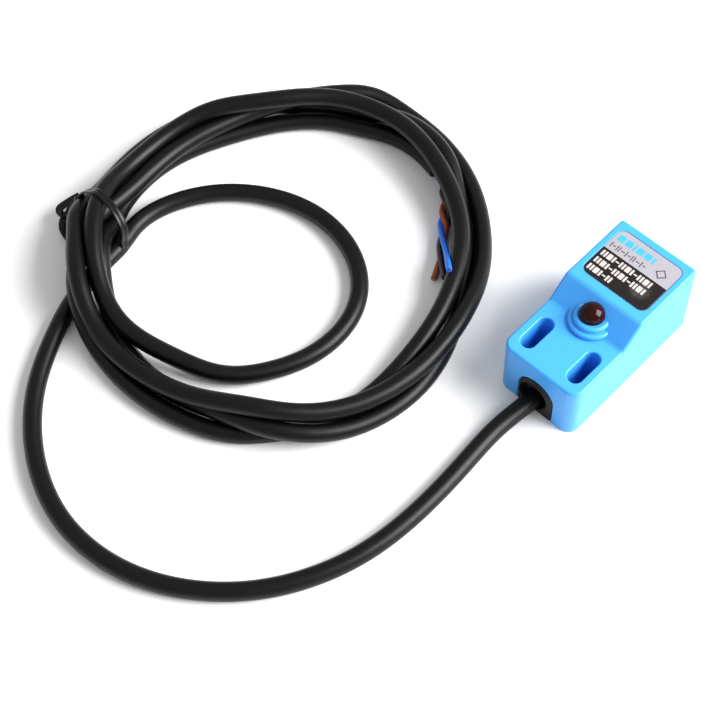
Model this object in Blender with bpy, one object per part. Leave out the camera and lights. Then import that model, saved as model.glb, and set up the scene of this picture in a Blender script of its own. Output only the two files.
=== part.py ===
"""Block-style inductive proximity sensor with a round cable, coiled and tied.

Frame: origin at the bottom centre of the sensor body, +X out of the sensing face, +Z up.
The cable leaves the opposite end towards -X and lies on the plane z = 0.
"""

import math

import bmesh
import bpy
from mathutils import Matrix, Vector

MM = 0.001

# Sensor body
BODY_LENGTH = 35.0 * MM
BODY_WIDTH = 18.0 * MM
HEAD_HEIGHT = 18.0 * MM
STEP_HEIGHT = 13.8 * MM
SLOPE_FOOT_X = -4.0 * MM
SLOPE_TOP_X = 0.8 * MM
CABLE_END_CORNER = 2.4 * MM
HEAD_END_CORNER = 0.8 * MM
EDGE_FILLET = 0.6 * MM
WALL = 1.5 * MM

# Mounting slots, one each side of the centre line
SLOT_X = -11.15 * MM
SLOT_Y = 5.6 * MM
SLOT_LENGTH = 8.0 * MM
SLOT_WIDTH = 3.1 * MM

# Indicator lamp and its two-ring collar
LAMP_X = -2.3 * MM
LAMP_RADIUS = 2.4 * MM
LAMP_DOME_Z = 15.8 * MM
LAMP_FLANGE_RADIUS = 2.9 * MM
LAMP_BASE_Z = 10.2 * MM
LAMP_CLEARANCE = 0.12 * MM

# Label recess on top of the head
LABEL_X0 = 2.95 * MM
LABEL_X1 = 15.65 * MM
LABEL_HALF_WIDTH = 7.55 * MM
LABEL_CORNER = 1.6 * MM
LABEL_RECESS = 0.3 * MM
LABEL_THICKNESS = 0.2 * MM
SEAM = 0.1 * MM

# Arch-shaped cable entry in the end wall
ARCH_HALF_WIDTH = 4.15 * MM
ARCH_SPRING_Z = 5.5 * MM
ARCH_DEPTH = 2.0 * MM
CHANNEL_HALF_WIDTH = 2.8 * MM
CHANNEL_TOP = 11.4 * MM

# Circuit board
BOARD_Z = 7.0 * MM
BOARD_THICKNESS = 1.0 * MM
BOARD_TOP = BOARD_Z + BOARD_THICKNESS

# Coil assembly behind the sensing face
CORE_Z = 9.0 * MM
CORE_BACK_X = 10.6 * MM
CORE_FRONT_X = 15.6 * MM
CORE_RADIUS = 6.4 * MM

# Cable
CABLE_RADIUS = 1.85 * MM
CABLE_REST_Z = CABLE_RADIUS + 0.02 * MM
CABLE_HOLE_Y = 0.45 * MM
CABLE_HOLE_Z = 2.5 * MM
CABLE_HOLE_RADIUS = 2.25 * MM

# The big turns of the cable, taken as one ring
COIL_CENTRE = Vector((-25.2 * MM, 60.4 * MM, 0.0))
COIL_OUTER_RADIUS = 44.6 * MM
COIL_INNER_RADIUS = 33.2 * MM
COIL_INNER_SHIFT = 1.6 * MM
COIL_THIN_SIDE = math.radians(80.0)
COIL_BOTTOM = 0.9 * MM
COIL_TOP = 8.2 * MM
COIL_CORNER = 2.2 * MM

# Tie round the ring
TIE_ANGLE = math.radians(122.0)
TIE_WIDTH = 2.0 * MM
TIE_THICKNESS = 0.5 * MM
TIE_GAP = 0.3 * MM

# Insulated conductors
WIRE_RADIUS = 0.62 * MM
WIRE_BORE = 0.36 * MM
CORE_WIRE_RADIUS = 0.3 * MM

# Route of the free cable from the grommet to the ring: x, y, z in mm
LEAD_ROUTE = [
    (-12.6, 0.3, 2.7), (-15.6, 0.4, 2.6), (-18.5, 0.7, 2.3), (-25.0, 1.8, 1.87),
    (-33.5, 1.3, 1.87), (-42.7, 0.8, 1.87), (-52.5, 0.9, 1.87), (-62.7, 2.4, 1.87),
    (-72.0, 5.9, 1.87), (-79.8, 10.8, 1.87), (-86.2, 17.1, 1.87), (-91.0, 24.2, 1.87),
    (-94.2, 32.1, 1.87), (-95.5, 40.5, 1.87), (-94.8, 49.0, 1.87), (-91.8, 57.6, 1.87),
    (-86.8, 65.6, 1.87), (-80.2, 72.5, 1.87), (-73.5, 77.0, 1.87), (-67.4, 80.3, 1.87),
]

# Route of the small loop inside the ring, from the tie round to the ring again
INNER_ROUTE = [
    (-36.8, 87.7, 1.87), (-32.0, 86.1, 1.87), (-26.8, 83.5, 1.87), (-21.8, 79.3, 1.87),
    (-17.9, 74.2, 1.87), (-15.0, 68.2, 1.87), (-13.6, 61.5, 1.87), (-14.1, 54.6, 1.87),
    (-16.6, 47.9, 1.87), (-20.9, 42.6, 1.87), (-26.6, 39.3, 1.87), (-33.2, 38.2, 1.87),
    (-39.9, 39.1, 1.87), (-46.0, 41.9, 2.0), (-50.9, 45.2, 2.3), (-54.2, 48.2, 2.6),
]


def material(name, colour, roughness, metallic=0.0):
    """Principled material with one base colour."""
    made = bpy.data.materials.get(name)
    if made is None:
        made = bpy.data.materials.new(name)
        made.use_nodes = True
        shader = made.node_tree.nodes["Principled BSDF"]
        shader.inputs["Base Color"].default_value = (*colour, 1.0)
        shader.inputs["Roughness"].default_value = roughness
        shader.inputs["Metallic"].default_value = metallic
        made.diffuse_color = (*colour, 1.0)
    return made


def link(name, mesh, finish=None, smooth_angle=30.0):
    """Put a mesh in the scene as a named object, shaded smooth below smooth_angle degrees."""
    mesh.shade_smooth()
    mesh.set_sharp_from_angle(angle=math.radians(smooth_angle))
    made = bpy.data.objects.new(name, mesh)
    bpy.context.scene.collection.objects.link(made)
    if finish is not None:
        mesh.materials.append(finish)
    return made


def mesh_from(name, bm):
    """Turn a bmesh into a mesh with its faces pointing out."""
    bmesh.ops.recalc_face_normals(bm, faces=bm.faces)
    mesh = bpy.data.meshes.new(name)
    bm.to_mesh(mesh)
    bm.free()
    return mesh


def extrude_outline(bm, outline, depth):
    """Add a prism: outline is a list of 3-D points in one plane, depth is its extrusion vector."""
    low = [bm.verts.new(point) for point in outline]
    high = [bm.verts.new(Vector(point) + depth) for point in outline]
    bm.faces.new(reversed(low))
    bm.faces.new(high)
    count = len(outline)
    for i in range(count):
        j = (i + 1) % count
        bm.faces.new((low[i], low[j], high[j], high[i]))


def prism(name, outline, depth, finish=None):
    """One prism as an object."""
    bm = bmesh.new()
    extrude_outline(bm, outline, Vector(depth))
    return link(name, mesh_from(name, bm), finish)


def box_outline(x0, x1, y0, y1, z):
    """Rectangle in the XY plane."""
    return [(x0, y0, z), (x1, y0, z), (x1, y1, z), (x0, y1, z)]


def block(name, x, y, z, finish=None, bevel=0.0):
    """Box between the pairs x, y and z, with its edges bevelled."""
    bm = bmesh.new()
    extrude_outline(bm, box_outline(x[0], x[1], y[0], y[1], z[0]), Vector((0, 0, z[1] - z[0])))
    if bevel:
        bmesh.ops.bevel(bm, geom=bm.edges[:], offset=bevel, segments=2, affect="EDGES", profile=0.5)
    return link(name, mesh_from(name, bm), finish)


def rounded_rectangle(x0, x1, y0, y1, z, radius, steps=6):
    """Rectangle in the XY plane with quarter-circle corners."""
    corners = [(x1 - radius, y1 - radius), (x0 + radius, y1 - radius),
               (x0 + radius, y0 + radius), (x1 - radius, y0 + radius)]
    points = []
    for quarter, (cx, cy) in enumerate(corners):
        for step in range(steps + 1):
            angle = math.pi / 2 * (quarter + step / steps)
            points.append((cx + radius * math.cos(angle), cy + radius * math.sin(angle), z))
    return points


def slot_outline(cx, cy, length, width, z, steps=8):
    """Slot in the XY plane with round ends, running along X."""
    radius = width / 2
    reach = length / 2 - radius
    points = []
    for side, start in ((1, -math.pi / 2), (-1, math.pi / 2)):
        for step in range(steps + 1):
            angle = start + math.pi * step / steps
            points.append((cx + side * reach + radius * math.cos(angle),
                           cy + radius * math.sin(angle), z))
    return points


def arch_outline(x, half_width, spring_z, bottom_z, steps=14):
    """Arch in the YZ plane at x: straight sides under a half circle."""
    points = [(x, -half_width, bottom_z), (x, half_width, bottom_z)]
    for step in range(steps + 1):
        angle = math.pi * step / steps
        points.append((x, half_width * math.cos(angle), spring_z + half_width * math.sin(angle)))
    return points


def lathe(name, profile, axis, centre, finish=None, segments=32):
    """Turn a closed profile of (along, radius) pairs about an axis, X or Z.

    Points with radius 0 become single vertices on the axis.
    """
    bm = bmesh.new()
    rings = []
    for along, radius in profile:
        if radius == 0.0:
            rings.append([bm.verts.new((along, 0.0, 0.0))])
            continue
        ring = []
        for i in range(segments):
            angle = 2 * math.pi * i / segments
            ring.append(bm.verts.new((along, radius * math.cos(angle), radius * math.sin(angle))))
        rings.append(ring)
    for a, b in zip(rings, rings[1:] + rings[:1]):
        if len(a) == 1 and len(b) == 1:
            continue
        for i in range(segments):
            j = (i + 1) % segments
            if len(a) == 1:
                bm.faces.new((a[0], b[i], b[j]))
            elif len(b) == 1:
                bm.faces.new((a[i], b[0], a[j]))
            else:
                bm.faces.new((a[i], b[i], b[j], a[j]))
    if axis == "Z":
        bmesh.ops.transform(bm, matrix=Matrix.Rotation(-math.pi / 2, 4, "Y"), verts=bm.verts)
    bmesh.ops.translate(bm, vec=Vector(centre), verts=bm.verts)
    return link(name, mesh_from(name, bm), finish)


def combine(target, other, operation):
    """Boolean modifier on target; the other object stays as a hidden guide."""
    modifier = target.modifiers.new(f"{operation.title()} {other.name}", "BOOLEAN")
    modifier.operation = operation
    modifier.object = other
    modifier.solver = "EXACT"
    other.hide_render = True
    other.display_type = "WIRE"


def smooth_points(route, count):
    """Count points at even spacing along a smooth curve through the route's points."""
    knots = [Vector(point) * MM for point in route]
    padded = [knots[0] * 2 - knots[1]] + knots + [knots[-1] * 2 - knots[-2]]
    fine = []
    parts = 24
    for a, b, c, d in zip(padded, padded[1:], padded[2:], padded[3:]):
        for step in range(parts):
            t = step / parts
            fine.append(0.5 * (2 * b + (c - a) * t + (2 * a - 5 * b + 4 * c - d) * t ** 2
                               + (3 * b - a - 3 * c + d) * t ** 3))
    fine.append(knots[-1])
    travelled = [0.0]
    for a, b in zip(fine, fine[1:]):
        travelled.append(travelled[-1] + (b - a).length)
    points = []
    at = 0
    for i in range(count):
        wanted = travelled[-1] * i / (count - 1)
        while at < len(fine) - 2 and travelled[at + 1] < wanted:
            at += 1
        span = travelled[at + 1] - travelled[at]
        points.append(fine[at].lerp(fine[at + 1], (wanted - travelled[at]) / span))
    return points


def cable_tube(name, route, count, finish):
    """Free stretch of the cable: a bevelled curve with filled caps."""
    curve = bpy.data.curves.new(name, "CURVE")
    curve.dimensions = "3D"
    curve.bevel_depth = CABLE_RADIUS
    curve.bevel_resolution = 2
    curve.use_fill_caps = True
    curve.render_resolution_u = 0
    spline = curve.splines.new("POLY")
    points = smooth_points(route, count)
    spline.points.add(len(points) - 1)
    for slot, point in zip(spline.points, points):
        slot.co = (*point, 1.0)
    curve.materials.append(finish)
    made = bpy.data.objects.new(name, curve)
    bpy.context.scene.collection.objects.link(made)
    return made


def sweep(bm, points, radius, sides, bore=0.0):
    """Add a round rod along points, or a pipe where bore is more than 0."""
    rings = []
    side = None
    for i, point in enumerate(points):
        ahead = points[min(i + 1, len(points) - 1)]
        behind = points[max(i - 1, 0)]
        along = (ahead - behind).normalized()
        guide = Vector((0, 0, 1)) if abs(along.z) < 0.9 else Vector((1, 0, 0))
        side = along.cross(guide).normalized() if side is None else (side - along * side.dot(along)).normalized()
        up = side.cross(along)
        rings.append([[bm.verts.new(point + (side * math.cos(a) + up * math.sin(a)) * r)
                       for a in (2 * math.pi * k / sides for k in range(sides))]
                      for r in ((radius, bore) if bore else (radius,))])
    for a, b in zip(rings, rings[1:]):
        for layer_a, layer_b in zip(a, b):
            for k in range(sides):
                n = (k + 1) % sides
                bm.faces.new((layer_a[k], layer_b[k], layer_b[n], layer_a[n]))
    for end in (rings[0], rings[-1]):
        if bore:
            for k in range(sides):
                n = (k + 1) % sides
                bm.faces.new((end[0][k], end[0][n], end[1][n], end[1][k]))
        else:
            bm.faces.new(end[0])


def rod(name, route, radius, finish, count=12, sides=8, bore=0.0):
    """Thin wire, lead or insulation along a smooth route."""
    bm = bmesh.new()
    sweep(bm, smooth_points(route, count), radius, sides, bore)
    return link(name, mesh_from(name, bm), finish, 60.0)


# Materials
BLUE_ABS = material("blue_abs", (0.055, 0.42, 0.86), 0.42)
LABEL_FILM = material("label_film", (0.55, 0.53, 0.55), 0.35)
RUBBER = material("black_rubber", (0.012, 0.012, 0.013), 0.6)
PVC = material("black_pvc", (0.014, 0.014, 0.015), 0.38)
LAMP_RESIN = material("dark_red_resin", (0.045, 0.003, 0.004), 0.08)
TINNED = material("tinned_copper", (0.72, 0.70, 0.66), 0.3, 1.0)
COPPER = material("enamelled_copper", (0.62, 0.24, 0.08), 0.35, 1.0)
FERRITE = material("ferrite", (0.06, 0.06, 0.065), 0.55)
NYLON = material("white_nylon", (0.75, 0.74, 0.68), 0.5)
BOARD = material("green_board", (0.02, 0.16, 0.06), 0.45)
MOULDED_EPOXY = material("moulded_epoxy", (0.02, 0.02, 0.022), 0.5)
POTTING = material("potting_resin", (0.02, 0.021, 0.024), 0.3)
RESISTOR = material("resistor_ceramic", (0.04, 0.04, 0.045), 0.4)
CAPACITOR = material("capacitor_ceramic", (0.42, 0.30, 0.18), 0.5)
TIE_PLASTIC = material("tie_plastic", (0.012, 0.012, 0.012), 0.35)
WIRE_FINISH = {
    "brown": material("brown_pvc", (0.20, 0.05, 0.025), 0.4),
    "blue": material("blue_pvc", (0.02, 0.16, 0.75), 0.4),
    "black": material("conductor_black_pvc", (0.015, 0.014, 0.016), 0.4),
}


def clear_scene():
    for old in list(bpy.data.objects):
        bpy.data.objects.remove(old, do_unlink=True)


def body_blank():
    """Stepped block with rounded upright corners and filleted top edges."""
    end = BODY_LENGTH / 2
    side = BODY_WIDTH / 2
    profile = [(-end, 0.0), (end, 0.0), (end, HEAD_HEIGHT), (SLOPE_TOP_X, HEAD_HEIGHT),
               (SLOPE_FOOT_X, STEP_HEIGHT), (-end, STEP_HEIGHT)]
    bm = bmesh.new()
    extrude_outline(bm, [(x, -side, z) for x, z in profile], Vector((0, BODY_WIDTH, 0)))
    bmesh.ops.recalc_face_normals(bm, faces=bm.faces)
    for x, radius, steps in ((-end, CABLE_END_CORNER, 7), (end, HEAD_END_CORNER, 4)):
        upright = [edge for edge in bm.edges
                   if all(abs(v.co.x - x) < 1e-6 for v in edge.verts)
                   and abs(edge.verts[0].co.y - edge.verts[1].co.y) < 1e-6]
        bmesh.ops.bevel(bm, geom=upright, offset=radius, segments=steps, affect="EDGES", profile=0.5)
    crisp = math.radians(30.0)
    rim = [edge for edge in bm.edges
           if min(v.co.z for v in edge.verts) > STEP_HEIGHT / 2
           and edge.calc_face_angle(0.0) > crisp]
    bmesh.ops.bevel(bm, geom=rim, offset=EDGE_FILLET, segments=3, affect="EDGES", profile=0.5)
    return link("housing", mesh_from("housing", bm), BLUE_ABS)


def collar_profile():
    """Two stacked rounded rings round the lamp, as (height, radius)."""
    return [(13.0, 0.0), (13.0, 4.6), (13.9, 4.65), (14.2, 4.78), (14.55, 4.72), (14.82, 4.4),
            (14.88, 4.0), (14.75, 3.62), (15.0, 3.5), (15.3, 3.58), (15.6, 3.48), (15.82, 3.2),
            (15.85, 2.95), (15.7, 0.0)]


def housing():
    """Blue shell: stepped outside, open bottom, slots, lamp hole, label recess and cable arch."""
    shell = body_blank()
    collar = lathe("collar_guide", [(z * MM, r * MM) for z, r in collar_profile()], "Z",
                   (LAMP_X, 0, 0), segments=40)
    combine(shell, collar, "UNION")
    inside_side = BODY_WIDTH / 2 - WALL
    end = BODY_LENGTH / 2
    rise = (HEAD_HEIGHT - STEP_HEIGHT) / (SLOPE_TOP_X - SLOPE_FOOT_X)
    roof_z = HEAD_HEIGHT - LABEL_RECESS - WALL
    step_roof = STEP_HEIGHT - WALL
    cavity_profile = [(-5.6 * MM, -MM), (end - WALL, -MM), (end - WALL, roof_z),
                      (SLOPE_FOOT_X - 0.4 * MM + (roof_z - step_roof) / rise, roof_z),
                      (SLOPE_FOOT_X - 0.4 * MM, step_roof), (-5.6 * MM, step_roof)]
    head_cavity = prism("head_cavity_guide", [(x, -inside_side, z) for x, z in cavity_profile],
                        (0, 2 * inside_side, 0))
    combine(shell, head_cavity, "DIFFERENCE")
    channel = block("channel_guide", (-end + ARCH_DEPTH - 0.2 * MM, -5.5 * MM),
                    (-CHANNEL_HALF_WIDTH, CHANNEL_HALF_WIDTH), (-MM, CHANNEL_TOP))
    combine(shell, channel, "DIFFERENCE")
    arch = prism("arch_guide", arch_outline(-end - MM, ARCH_HALF_WIDTH, ARCH_SPRING_Z, -MM),
                 (ARCH_DEPTH + MM, 0, 0))
    combine(shell, arch, "DIFFERENCE")
    for number, y in enumerate((SLOT_Y, -SLOT_Y), start=1):
        slot = prism(f"slot_guide_{number}", slot_outline(SLOT_X, y, SLOT_LENGTH, SLOT_WIDTH, -MM),
                     (0, 0, STEP_HEIGHT + 2 * MM))
        combine(shell, slot, "DIFFERENCE")
    lamp_hole = LAMP_RADIUS + LAMP_CLEARANCE
    hole = lathe("lamp_hole_guide", [(9 * MM, 0.0), (9 * MM, lamp_hole), (20 * MM, lamp_hole), (20 * MM, 0.0)],
                 "Z", (LAMP_X, 0, 0), segments=40)
    combine(shell, hole, "DIFFERENCE")
    recess = prism("label_guide", rounded_rectangle(LABEL_X0, LABEL_X1, -LABEL_HALF_WIDTH, LABEL_HALF_WIDTH,
                                                    HEAD_HEIGHT - LABEL_RECESS, LABEL_CORNER),
                   (0, 0, 2 * MM))
    combine(shell, recess, "DIFFERENCE")


def rating_label():
    """Thin film that lies in the recess."""
    low = HEAD_HEIGHT - LABEL_RECESS + 0.05 * MM
    prism("rating_label",
          rounded_rectangle(LABEL_X0 + SEAM, LABEL_X1 - SEAM, -LABEL_HALF_WIDTH + SEAM,
                            LABEL_HALF_WIDTH - SEAM, low, LABEL_CORNER - SEAM),
          (0, 0, LABEL_THICKNESS), LABEL_FILM)


def cable_grommet():
    """Rubber arch plug with a neck inside the shell, a dished face and the cable's hole."""
    end = BODY_LENGTH / 2
    front = -end - 0.05 * MM
    plug = prism("cable_grommet",
                 arch_outline(front, ARCH_HALF_WIDTH - SEAM, ARCH_SPRING_Z, 0.05 * MM),
                 (ARCH_DEPTH - 0.3 * MM, 0, 0), RUBBER)
    neck = block("neck_guide", (front + 0.8 * MM, -13.0 * MM), (-2.6 * MM, 2.6 * MM), (0.3 * MM, 7.0 * MM))
    combine(plug, neck, "UNION")
    dish = lathe("dish_guide", [(front - MM, 0.0), (front - MM, 3.3 * MM), (front + 1.2 * MM, 2.6 * MM),
                                (front + 1.2 * MM, 0.0)],
                 "X", (0, 0.6 * MM, 4.3 * MM), segments=28)
    combine(plug, dish, "DIFFERENCE")
    hole = lathe("cable_hole_guide", [(-20 * MM, 0.0), (-20 * MM, CABLE_HOLE_RADIUS),
                                      (-12 * MM, CABLE_HOLE_RADIUS), (-12 * MM, 0.0)],
                 "X", (0, CABLE_HOLE_Y, CABLE_HOLE_Z), segments=28)
    combine(plug, hole, "DIFFERENCE")


def status_lamp():
    """Domed lamp with a flange below, and its two legs down to the board."""
    profile = [(LAMP_BASE_Z, 0.0), (LAMP_BASE_Z, LAMP_FLANGE_RADIUS), (LAMP_BASE_Z + 0.9 * MM, LAMP_FLANGE_RADIUS),
               (LAMP_BASE_Z + 0.9 * MM, LAMP_RADIUS)]
    steps = 7
    for step in range(steps):
        angle = math.pi / 2 * step / steps
        profile.append((LAMP_DOME_Z + LAMP_RADIUS * math.sin(angle), LAMP_RADIUS * math.cos(angle)))
    profile.append((LAMP_DOME_Z + LAMP_RADIUS, 0.0))
    lathe("status_led_lens", profile, "Z", (LAMP_X, 0, 0), LAMP_RESIN, 32)
    half = 0.25 * MM
    for name, offset in (("led_anode_lead", 1.27 * MM), ("led_cathode_lead", -1.27 * MM)):
        x = LAMP_X + offset
        block(name, (x - half, x + half), (-half, half), (BOARD_TOP + 0.1 * MM, LAMP_BASE_Z - 0.1 * MM), TINNED)


def circuit_board():
    """Board with a tongue that runs between the slot pillars."""
    outline = [(-9.2, -2.4), (-5.2, -2.4), (-5.2, -7.0), (10.2, -7.0), (10.2, 7.0), (-5.2, 7.0),
               (-5.2, 2.4), (-9.2, 2.4)]
    prism("circuit_board", [(x * MM, y * MM, BOARD_Z) for x, y in outline], (0, 0, BOARD_THICKNESS), BOARD)


def potting_layer():
    """Casting resin across the open bottom, round the slot pillars."""
    outline = [(-12.2, -2.6), (-5.35, -2.6), (-5.35, -7.3), (15.8, -7.3), (15.8, 7.3), (-5.35, 7.3),
               (-5.35, 2.6), (-12.2, 2.6)]
    prism("potting_layer", [(x * MM, y * MM, 0.35 * MM) for x, y in outline], (0, 0, 1.5 * MM), POTTING)


def coil_assembly():
    """Half pot core, bobbin, winding and the winding's two ends."""
    centre = (0, 0, CORE_Z)
    back, front = CORE_BACK_X, CORE_FRONT_X
    floor_x = back + 1.3 * MM
    core = lathe("ferrite_core", [(back, 0.0), (back, CORE_RADIUS), (front, CORE_RADIUS), (front, 5.4 * MM),
                                  (floor_x, 5.4 * MM), (floor_x, 2.4 * MM), (front, 2.4 * MM), (front, 0.0)],
                 "X", centre, FERRITE, 36)
    lead_y = 3.9 * MM
    lead_z = 8.8 * MM
    for number, (name, side) in enumerate((("coil_start_lead", 1), ("coil_finish_lead", -1)), start=1):
        notch = block(f"core_notch_guide_{number}", (back - MM, floor_x + 0.2 * MM),
                      (side * lead_y - 0.7 * MM, side * lead_y + 0.7 * MM), (lead_z - 0.8 * MM, lead_z + 0.8 * MM))
        combine(core, notch, "DIFFERENCE")
        route = [(11.8, 3.9 * side, 8.8), (10.4, 3.9 * side, 8.8), (9.3, 3.9 * side, 8.5), (8.5, 3.9 * side, 8.42)]
        rod(name, route, 0.22 * MM, COPPER, count=8)
    lathe("coil_bobbin", [(12.15 * MM, 2.65 * MM), (15.35 * MM, 2.65 * MM), (15.35 * MM, 5.1 * MM),
                          (14.85 * MM, 5.1 * MM), (14.85 * MM, 3.15 * MM), (12.65 * MM, 3.15 * MM),
                          (12.65 * MM, 5.1 * MM), (12.15 * MM, 5.1 * MM)], "X", centre, NYLON, 32)
    lathe("coil_winding", [(12.85 * MM, 3.4 * MM), (14.65 * MM, 3.4 * MM), (14.65 * MM, 4.8 * MM),
                           (12.85 * MM, 4.8 * MM)], "X", centre, COPPER, 32)


def gull_wing(bm, x, y, side, width, reach, body_low):
    """One bent leg: out of the body at y, down to the board and out again."""
    thick = 0.2 * MM
    low = BOARD_TOP + 0.1 * MM
    shape = [(-0.3 * MM, body_low + thick), (0.5 * reach, body_low + thick), (0.5 * reach, low), (reach, low),
             (reach, low + thick), (0.5 * reach + thick, low + thick), (0.5 * reach + thick, body_low + 2 * thick),
             (-0.3 * MM, body_low + 2 * thick)]
    extrude_outline(bm, [(x - width / 2, y + side * dy, z) for dy, z in shape], Vector((width, 0, 0)))


def leaded_chip(name, centre, size, legs, leg_width):
    """Moulded body with bent legs on both Y sides; legs maps a side to its X offsets."""
    cx, cy = centre
    lx, ly, lz = size
    low = BOARD_TOP + 0.3 * MM
    body = block(name, (cx - lx / 2, cx + lx / 2), (cy - ly / 2, cy + ly / 2), (low, low + lz),
                 MOULDED_EPOXY, 0.12 * MM)
    bm = bmesh.new()
    for side, offsets in legs.items():
        for offset in offsets:
            gull_wing(bm, cx + offset, cy + side * ly / 2, side, leg_width, 0.9 * MM, low)
    guide = link(f"{name}_legs_guide", mesh_from(f"{name}_legs_guide", bm))
    combine(body, guide, "UNION")


def chip_passive(name, centre, size, finish):
    """Two-ended chip part: thicker end caps, thinner middle."""
    cx, cy = centre
    lx, ly, lz = size
    low = BOARD_TOP + 0.1 * MM
    cap = lx * 0.22
    dip = 0.08 * MM
    shape = [(-lx / 2, 0.0), (lx / 2, 0.0), (lx / 2, lz), (lx / 2 - cap, lz), (lx / 2 - cap, lz - dip),
             (-lx / 2 + cap, lz - dip), (-lx / 2 + cap, lz), (-lx / 2, lz)]
    prism(name, [(cx + x, cy - ly / 2, low + z) for x, z in shape], (0, ly, 0), finish)


def board_parts():
    """Everything soldered on top of the board."""
    pitch = 1.27 * MM
    side_pins = [pitch * (i - 1.5) for i in range(4)]
    leaded_chip("oscillator_chip", (4.4 * MM, 0.0), (4.9 * MM, 3.9 * MM, 1.4 * MM),
                {1: side_pins, -1: side_pins}, 0.4 * MM)
    leaded_chip("output_transistor", (3.6 * MM, 5.2 * MM), (2.9 * MM, 1.4 * MM, 0.95 * MM),
                {1: [0.0], -1: [-0.95 * MM, 0.95 * MM]}, 0.4 * MM)
    for name, y in (("reverse_protection_diode", 5.2 * MM), ("surge_diode", -5.2 * MM)):
        diode = block(name, (-3.7 * MM, 0.3 * MM), (y - 1.3 * MM, y + 1.3 * MM),
                      (BOARD_TOP + 0.3 * MM, BOARD_TOP + 2.0 * MM), MOULDED_EPOXY, 0.2 * MM)
        tabs = block(f"{name}_tabs_guide", (-4.3 * MM, 0.9 * MM), (y - 0.7 * MM, y + 0.7 * MM),
                     (BOARD_TOP + 0.1 * MM, BOARD_TOP + 0.45 * MM))
        combine(diode, tabs, "UNION")
    resistor = (2.0 * MM, 1.25 * MM, 0.5 * MM)
    for number, (x, y) in enumerate(((2.4, -4.4), (2.4, -6.2), (5.2, -4.4), (5.2, -6.2)), start=1):
        chip_passive(f"chip_resistor_{number}", (x * MM, y * MM), resistor, RESISTOR)
    capacitor = (2.0 * MM, 1.25 * MM, 1.1 * MM)
    for number, (x, y) in enumerate(((8.2, -6.0), (7.3, 5.9), (-2.3, 2.5)), start=1):
        chip_passive(f"chip_capacitor_{number}", (x * MM, y * MM), capacitor, CAPACITOR)
    chip_passive("tuning_capacitor", (8.6 * MM, 0.0), (2.0 * MM, 3.2 * MM, 1.5 * MM), CAPACITOR)


def inner_wires():
    """Conductors from the end of the jacket up to the board's tongue."""
    for colour, y in (("brown", -1.5), ("blue", 0.0), ("black", 1.5)):
        route = [(-12.2, 0.3 + 0.85 * y, 2.9), (-11.2, 0.1 + y, 4.4), (-10.4, y, 6.8), (-9.4, y, 8.7), (-7.2, y, 8.75)]
        rod(f"{colour}_inner_wire", route, WIRE_RADIUS, WIRE_FINISH[colour], count=14)


def polar(angle, radius, z):
    """Point round the ring's centre."""
    return COIL_CENTRE + Vector((radius * math.cos(angle), radius * math.sin(angle), z))


def coil_inner_radius(angle):
    """The hole's centre is off the ring's centre, so the ring is thinner on one side."""
    return COIL_INNER_RADIUS - COIL_INNER_SHIFT * math.cos(angle - COIL_THIN_SIDE)


def cable_coil():
    """One closed ring of the outer shape of the three big turns."""
    segments = 72
    bm = bmesh.new()
    sections = []
    for i in range(segments):
        angle = 2 * math.pi * i / segments
        inner = coil_inner_radius(angle)
        outer = COIL_OUTER_RADIUS
        corner = COIL_CORNER
        section = [(inner + corner, COIL_BOTTOM), (outer - corner, COIL_BOTTOM), (outer, COIL_BOTTOM + corner),
                   (outer, COIL_TOP - corner), (outer - corner, COIL_TOP), (inner + corner, COIL_TOP),
                   (inner, COIL_TOP - corner), (inner, COIL_BOTTOM + corner)]
        sections.append([bm.verts.new(polar(angle, radius, z)) for radius, z in section])
    for a, b in zip(sections, sections[1:] + sections[:1]):
        for k in range(len(a)):
            n = (k + 1) % len(a)
            bm.faces.new((a[k], b[k], b[n], a[n]))
    link("cable_coil", mesh_from("cable_coil", bm), PVC, 50.0)


def twist_tie():
    """Flat band round the ring's section, twisted together outside it, with two tails."""
    inner = coil_inner_radius(TIE_ANGLE) - TIE_GAP - TIE_THICKNESS / 2
    outer = COIL_OUTER_RADIUS + TIE_GAP + TIE_THICKNESS / 2
    low = COIL_BOTTOM - TIE_GAP - TIE_THICKNESS / 2
    high = COIL_TOP + TIE_GAP + TIE_THICKNESS / 2
    corner = COIL_CORNER
    path = [(inner + corner, low), (outer - corner, low), (outer, low + corner), (outer, high - corner),
            (outer - corner, high), (inner + corner, high), (inner, high - corner), (inner, low + corner)]
    tangent = Vector((-math.sin(TIE_ANGLE), math.cos(TIE_ANGLE), 0)) * (TIE_WIDTH / 2)
    middle = Vector(((inner + outer) / 2, (low + high) / 2))
    bm = bmesh.new()
    rings = []
    for radius, z in path:
        away = Vector((radius, z)) - middle
        step = Vector((math.copysign(1, away.x), math.copysign(1, away.y))) * (TIE_THICKNESS / 2)
        near = polar(TIE_ANGLE, radius - step.x, z - step.y)
        far = polar(TIE_ANGLE, radius + step.x, z + step.y)
        rings.append([bm.verts.new(p) for p in (near - tangent, far - tangent, far + tangent, near + tangent)])
    for a, b in zip(rings, rings[1:] + rings[:1]):
        for k in range(4):
            n = (k + 1) % 4
            bm.faces.new((a[k], b[k], b[n], a[n]))
    band = link("twist_tie", mesh_from("twist_tie", bm), TIE_PLASTIC)
    root = polar(TIE_ANGLE, outer - 0.1 * MM, 3.4 * MM) / MM
    tails = {
        "upper": [root, (-49.9, 99.6, 3.6), (-48.6, 101.4, 4.4), (-45.2, 101.6, 5.2)],
        "lower": [root, (-50.3, 99.3, 3.2), (-52.6, 97.8, 2.4), (-54.0, 95.4, 1.6)],
    }
    for name, route in tails.items():
        tail = rod(f"tie_{name}_tail_guide", route, 0.5 * MM, TIE_PLASTIC, count=9, sides=6)
        combine(band, tail, "UNION")


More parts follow.
